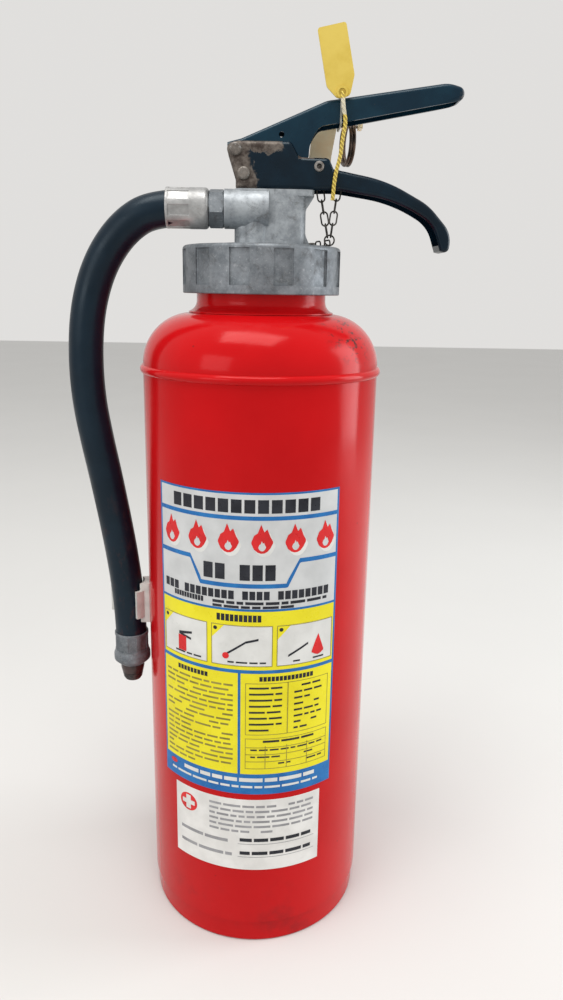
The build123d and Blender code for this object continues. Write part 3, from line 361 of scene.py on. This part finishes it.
def twisted_plastic():
    """Yellow plastic with slanting ridges, with painted shade in their grooves and painted
    highlight on their crests, and a clear whitish stretch near its top.
    """
    s = Shader("twisted_seal_plastic")
    x, _, z = s.xyz()
    along = s.math("ADD", s.math("MULTIPLY", z, 2300.0), s.math("MULTIPLY", x, 2600.0))
    ridge_and_groove_shade = s.step(s.math("SINE", along), -0.6, 0.7)
    # painted shade and highlight: the yellow is darker in the twist's grooves and lighter on its
    # crests; the same ridge pattern also drives the bump
    colour = s.mix(ridge_and_groove_shade, (0.36, 0.25, 0.035), (0.68, 0.52, 0.09))
    clear = s.math("MULTIPLY", s.step(z, 0.5435, 0.5450), s.step(z, 0.5525, 0.5540, 1.0, 0.0))
    s.set(base_color=s.mix(s.math("MULTIPLY", clear, 0.75), colour, (0.62, 0.60, 0.52)),
          roughness=s.step(s.noise(400.0), 0.3, 0.7, 0.3, 0.5), specular_ior_level=0.4)
    s.bump(ridge_and_groove_shade, 0.9, 0.0005)
    return s.material


tail = cord("seal_tail_strap", tail_route, 1.2, twisted_plastic(), "lever")
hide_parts("seal_tail")


# ---- label and sticker print -----------------------------------------------------
class Print:
    """Thin printed shapes on the cylinder, in degrees round it and millimetres up."""

    def __init__(self, name, inks):
        self.name, self.inks = name, inks
        self.points, self.faces, self.ink_of = [], [], []

    def shape(self, ink, rows, layer=1):
        """Fill between a lower and an upper edge given as (angle, low, high) rows."""
        radius = PRINT_RADIUS + INK_LAYER * layer
        fine = []
        for (a0, l0, h0), (a1, l1, h1) in zip(rows, rows[1:]):
            parts = max(1, math.ceil(abs(a1 - a0) / FACE_ANGLE))
            fine += [(a0 + (a1 - a0) * i / parts, l0 + (l1 - l0) * i / parts,
                      h0 + (h1 - h0) * i / parts) for i in range(parts)]
        fine.append(rows[-1])
        first = len(self.points)
        for angle, low, high in fine:
            turn = math.radians(angle)
            for z in (low, high):
                self.points.append((radius * math.sin(turn) * MM, -radius * math.cos(turn) * MM,
                                    z * MM))
        for i in range(len(fine) - 1):
            k = first + 2 * i
            self.faces.append((k, k + 2, k + 3, k + 1))
            self.ink_of.append(self.inks.index(ink))

    def bar(self, ink, left, right, low, high, layer=1):
        """A plain rectangle."""
        self.shape(ink, [(left, low, high), (right, low, high)], layer)

    def box(self, ink, left, right, low, high, line, layer=1):
        """An outline whose line width is in millimetres."""
        turn = line / MM_PER_DEGREE
        self.bar(ink, left, right, low, low + line, layer)
        self.bar(ink, left, right, high - line, high, layer)
        self.bar(ink, left, left + turn, low + line, high - line, layer)
        self.bar(ink, right - turn, right, low + line, high - line, layer)

    def disc(self, ink, angle, z, radius, layer=1, squash=1.0):
        """A round spot; squash makes it lower than it is wide."""
        count = 14
        rows = []
        for i in range(count + 1):
            t = math.pi * i / count
            half = radius * squash * math.sin(t)
            rows.append((angle - radius / MM_PER_DEGREE * math.cos(t), z - half, z + half))
        self.shape(ink, rows, layer)

    def lines(self, ink, left, right, top, pitch, count, height, seed, layer=1, fill=0.85,
              words=(3.0, 9.0)):
        """Plain bars where a block of small print would be; its last line is short."""
        last_share, word_gap, shortest = 0.6, 1.0, 1.5
        draw = random.Random(seed)
        for row in range(count):
            z = top - pitch * row
            end = left + (right - left) * last_share if 1 < count == row + 1 else right
            angle = left
            while angle < end - shortest:
                width = min(draw.uniform(*words), end - angle)
                if draw.random() < fill:
                    self.bar(ink, angle, angle + width, z - height, z, layer)
                angle += width + word_gap

    def blocks(self, ink, left, right, low, high, count, layer=1, gaps=()):
        """A row of plain blocks where a heading would be; gaps lists blocks left out."""
        inked_share = 0.80
        pitch = (right - left) / count
        for i in range(count):
            if i not in gaps:
                self.bar(ink, left + i * pitch, left + (i + inked_share) * pitch, low, high, layer)

    def flame(self, ink, angle, low, height, layer=1):
        """A plain flame whose width is about half its height."""
        rows = [(-4.5, 0.34, 0.40), (-3.4, 0.14, 0.62), (-1.9, 0.04, 0.70), (-0.5, 0.0, 1.0),
                (0.9, 0.01, 0.74), (2.1, 0.06, 0.84), (3.4, 0.18, 0.58), (4.5, 0.36, 0.42)]
        drawn_height = 17.0
        size = height / drawn_height
        self.shape(ink, [(angle + a * size, low + height * b, low + height * t)
                         for a, b, t in rows], layer)

    def make(self, materials, body):
        """One mesh of all the shapes, riding on the body."""
        mesh = bpy.data.meshes.new(self.name)
        mesh.from_pydata(self.points, [], self.faces)
        for material in materials:
            mesh.materials.append(material)
        for polygon, ink in zip(mesh.polygons, self.ink_of):
            polygon.material_index = ink
            polygon.use_smooth = True
        piece = bpy.data.objects.new(self.name, mesh)
        bpy.context.scene.collection.objects.link(piece)
        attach(piece, body)


inks = {
    "silver": printed("label_silver", (0.50, 0.51, 0.515), (0.59, 0.60, 0.605),
                      rough=(0.3, 0.45), metallic=0.1, scale=50.0),
    "yellow": printed("label_yellow", (0.70, 0.61, 0.012), (0.78, 0.70, 0.020), scale=40.0),
    "white": printed("label_white", (0.58, 0.58, 0.56), (0.70, 0.70, 0.68), scale=40.0),
    "blue": look["label_film"],
    "black": printed("label_black", (0.010, 0.011, 0.016), (0.022, 0.024, 0.032)),
    "red": printed("label_red", (0.52, 0.014, 0.016), (0.66, 0.020, 0.022)),
    "olive": printed("label_olive", (0.20, 0.17, 0.03), (0.30, 0.25, 0.05)),
}
label = Print("label_print", list(inks))
left_edge, right_edge = -52.3, 38.8
label.bar("silver", left_edge, right_edge, 251.6, 324.7)
label.bar("blue", left_edge, right_edge, 308.8, 311.4, 2)
# heading row, then a row of red flames with white shadows
label.blocks("black", -43.0, 30.0, 313.2, 321.6, 12, 2)
for number in range(6):
    angle = -44.6 + 15.4 * number
    label.flame("white", angle + 1.1, 285.8, 18.4, 2)
    label.flame("red", angle, 288.0, 18.4, 3)
    label.flame("silver", angle, 289.6, 6.4, 4)
# trapezoid line with a short code row above it, and two lines of small print below
label.shape("blue", [(left_edge, 281.2, 284.0), (-33.6, 281.2, 284.0), (-33.2, 280.6, 284.0),
                     (-28.0, 265.6, 271.0), (-27.4, 265.4, 268.2), (13.0, 265.4, 268.2),
                     (13.8, 265.8, 271.0), (19.2, 280.6, 284.0), (19.8, 281.2, 284.0),
                     (right_edge, 281.2, 284.0)], 2)
label.blocks("black", -26.0, 9.0, 270.4, 280.6, 6, 3, (2,))
label.blocks("black", -50.0, 35.5, 257.8, 263.4, 26, 3, (3, 12, 17))
label.blocks("black", -43.5, -26.0, 253.8, 257.2, 11, 3)
label.lines("black", -21.5, 34.0, top=256.4, pitch=3.2, count=1, height=1.9, seed=9, layer=3,
            fill=1.0)
label.lines("black", -21.5, 18.0, top=253.6, pitch=3.2, count=1, height=1.7, seed=13, layer=3,
            fill=1.0)
# yellow field with its three picture panels
label.bar("yellow", left_edge, right_edge, 135.0, 250.0)
label.blocks("black", -19.5, 2.0, 243.0, 247.6, 10, 2)
for number, (left, right) in enumerate(((-51.4, -24.4), (-22.2, 7.0), (9.0, 38.0))):
    label.bar("white", left, right, 212.6, 240.4, 2)
    label.box("olive", left, right, 212.6, 240.4, 0.45, 4)
    label.shape("yellow", [(left, 230.6, 240.4), (left + 6.6, 240.2, 240.4)], 3)
    centre = (left + right) / 2
    label.disc("black", left + 2.0, 237.6, 1.3, 4)
    if number == 0:          # a cylinder and its two handles
        label.disc("red", centre - 1.0, 219.0, 3.4, 3, 0.6)
        label.bar("red", centre - 3.5, centre + 1.5, 216.0, 226.5, 4)
        label.shape("black", [(centre - 3.0, 227.0, 229.0), (centre + 5.0, 229.5, 231.0)], 4)
        label.shape("black", [(centre - 3.0, 227.0, 228.5), (centre + 4.5, 225.0, 226.5)], 4)
    if number == 1:          # a hose
        label.shape("black", [(centre - 8.0, 219.0, 220.6), (centre + 2.0, 228.5, 230.0),
                              (centre + 8.0, 230.5, 232.0)], 4)
        label.disc("red", centre - 7.5, 219.4, 2.2, 4)
    if number == 2:          # a jet pointed at a flame
        label.shape("black", [(centre - 9.0, 218.5, 220.0), (centre + 1.0, 225.5, 227.0)], 4)
        label.shape("red", [(centre + 3.0, 219.0, 220.0), (centre + 5.0, 217.5, 227.0),
                            (centre + 6.5, 216.8, 231.5), (centre + 8.0, 217.5, 226.0),
                            (centre + 9.6, 219.0, 220.0)], 4)
    label.lines("black", left + 8.0, right - 3.0, top=215.8, pitch=3, count=1, height=1.1,
                seed=30 + number, layer=4, fill=0.8)
# below the panels: small print on the left, two tables on the right
label.bar("blue", left_edge, right_edge, 207.8, 210.2, 2)
label.bar("blue", -9.2, -7.9, 135.0, 207.8, 2)
label.blocks("black", -42.0, -24.0, 202.4, 205.6, 9, 2)
label.lines("olive", -50.4, -11.6, top=199.6, pitch=3.55, count=18, height=1.35, seed=43,
            layer=2, fill=0.9)
label.blocks("black", 1.0, 28.0, 202.4, 205.6, 14, 2)
label.box("olive", -5.6, 36.6, 164.0, 201.0, 0.4, 2)
label.lines("black", -3.8, 12.0, top=198.2, pitch=4.3, count=8, height=1.3, seed=53, layer=3,
            fill=1.0, words=(5.0, 12.0))
label.lines("black", 18.0, 33.0, top=198.2, pitch=4.3, count=8, height=1.3, seed=59, layer=3,
            fill=0.8, words=(2.0, 5.0))
label.bar("olive", 14.6, 15.0, 164.4, 200.6, 3)
label.box("olive", -5.6, 36.6, 139.0, 161.4, 0.4, 2)
label.lines("black", 3.0, 29.0, top=160.0, pitch=4, count=1, height=1.5, seed=61, layer=3,
            fill=1.0, words=(6.0, 10.0))
for k in range(1, 4):
    label.bar("olive", -5.6, 36.6, 139.0 + 5.2 * k, 139.4 + 5.2 * k, 3)
    label.lines("black", -3.0, 34.0, top=143.2 + 5.2 * (k - 1), pitch=4, count=1, height=1.1,
                seed=70 + k, layer=3, fill=0.6, words=(2.0, 6.0))
for k in range(3):
    label.bar("olive", 4.0 + 10.6 * k, 4.3 + 10.6 * k, 139.4, 156.0, 3)
# blue foot band with a small red mark and two lines of small print
label.disc("red", -46.5, 130.6, 3.2, 2, 0.55)
label.lines("white", -39.0, 30.0, top=132.0, pitch=5, count=1, height=2.8, seed=83, layer=2,
            fill=1.0, words=(5.0, 13.0))
label.lines("white", -48.0, 32.0, top=126.2, pitch=4, count=1, height=1.6, seed=89, layer=2,
            fill=0.9)
label.make(list(inks.values()), "extinguisher")

sticker_inks = {
    "white": inks["white"], "black": inks["black"], "red": inks["red"],
    "grey": printed("sticker_grey", (0.24, 0.24, 0.25), (0.32, 0.32, 0.33)),
}
sticker = Print("sticker_print", list(sticker_inks))
# a round mark with a plain plus sign, small print, and two filled-in rows
sticker.disc("red", -36.6, 103.6, 7.4, 1, 0.9)
sticker.bar("white", -40.6, -32.6, 102.0, 105.2, 2)
sticker.bar("white", -38.1, -35.1, 98.4, 108.8, 2)
sticker.lines("grey", -24.0, 30.0, top=111.0, pitch=3.9, count=6, height=1.7, seed=101, layer=1,
              fill=0.95)
sticker.lines("grey", -41.6, -12.0, top=83.6, pitch=5, count=1, height=2.4, seed=103, layer=1,
              fill=1.0, words=(9.0, 14.0))
sticker.lines("grey", -41.6, -12.0, top=73.2, pitch=5, count=1, height=2.4, seed=107, layer=1,
              fill=1.0, words=(9.0, 14.0))
sticker.lines("black", -8.0, 29.0, top=85.4, pitch=5, count=1, height=2.6, seed=109, layer=2,
              fill=1.0, words=(5.0, 9.0))
sticker.lines("black", -8.0, 29.0, top=75.0, pitch=5, count=1, height=2.6, seed=113, layer=2,
              fill=1.0, words=(5.0, 9.0))
sticker.bar("grey", -9.0, 31.0, 80.6, 81.0, 1)
sticker.bar("grey", -9.0, 31.0, 70.4, 70.8, 1)
sticker.make(list(sticker_inks.values()), "extinguisher")


# ---- floor, light and camera -----------------------------------------------------
scene = bpy.context.scene
floor_shader = Shader("floor")
floor_shader.set(base_color=floor_shader.mix(floor_shader.noise(3.0), (0.60, 0.60, 0.59),
                                             (0.64, 0.64, 0.63)), roughness=0.75)
floor_mesh = bpy.data.meshes.new("floor")
reach = 6.0               # half the floor's side
floor_mesh.from_pydata([(-reach, -reach, 0), (reach, -reach, 0), (reach, reach, 0),
                        (-reach, reach, 0)], [], [(0, 1, 2, 3)])
floor_mesh.materials.append(floor_shader.material)
floor = bpy.data.objects.new("floor", floor_mesh)
scene.collection.objects.link(floor)

world = bpy.data.worlds.new("studio")
world.use_nodes = True
world.node_tree.nodes["Background"].inputs["Color"].default_value = (1.0, 0.985, 0.965, 1.0)
world.node_tree.nodes["Background"].inputs["Strength"].default_value = 0.75
scene.world = world


def softbox(name, place, target, width, height, power, colour=(1.0, 1.0, 1.0)):
    lamp = bpy.data.lights.new(name, "AREA")
    lamp.shape = "RECTANGLE"
    lamp.size, lamp.size_y = width, height
    lamp.energy = power
    lamp.color = colour
    holder = bpy.data.objects.new(name, lamp)
    holder.location = place
    holder.rotation_euler = (Vector(target) - Vector(place)).to_track_quat("-Z", "Y").to_euler()
    scene.collection.objects.link(holder)


# place, target, width, height, watts and colour
softbox("ceiling", (-0.2, -0.5, 2.2), (0, 0, 0.3), 1.4, 0.9, 29.0, (1.0, 0.98, 0.95))
softbox("window", (1.6, 0.15, 0.7), (0, 0, 0.3), 0.7, 1.4, 16.0, (0.95, 0.98, 1.0))
softbox("fill", (-1.2, -1.3, 0.9), (0, 0, 0.3), 0.9, 0.9, 7.0)

tilt = math.radians(15.161)
yaw = math.radians(1.710)
roll = math.radians(1.040)
forward = Vector((math.sin(yaw) * math.cos(tilt), math.cos(yaw) * math.cos(tilt),
                  -math.sin(tilt)))
level = Vector((math.cos(yaw), -math.sin(yaw), 0.0))
upward = level.cross(forward)
right = level * math.cos(roll) + upward * math.sin(roll)
up = upward * math.cos(roll) - level * math.sin(roll)
lens = bpy.data.cameras.new("camera")
lens.sensor_fit = "VERTICAL"
lens.sensor_height = 36.0
lens.lens = 27.97
lens.clip_start = 0.01
camera = bpy.data.objects.new("camera", lens)
turn = Matrix((right, up, -forward)).transposed().to_4x4()
camera.matrix_world = Matrix.Translation((0.0, -0.52254, 0.44258)) @ turn
scene.collection.objects.link(camera)
scene.camera = camera
scene.view_settings.view_transform = "Standard"
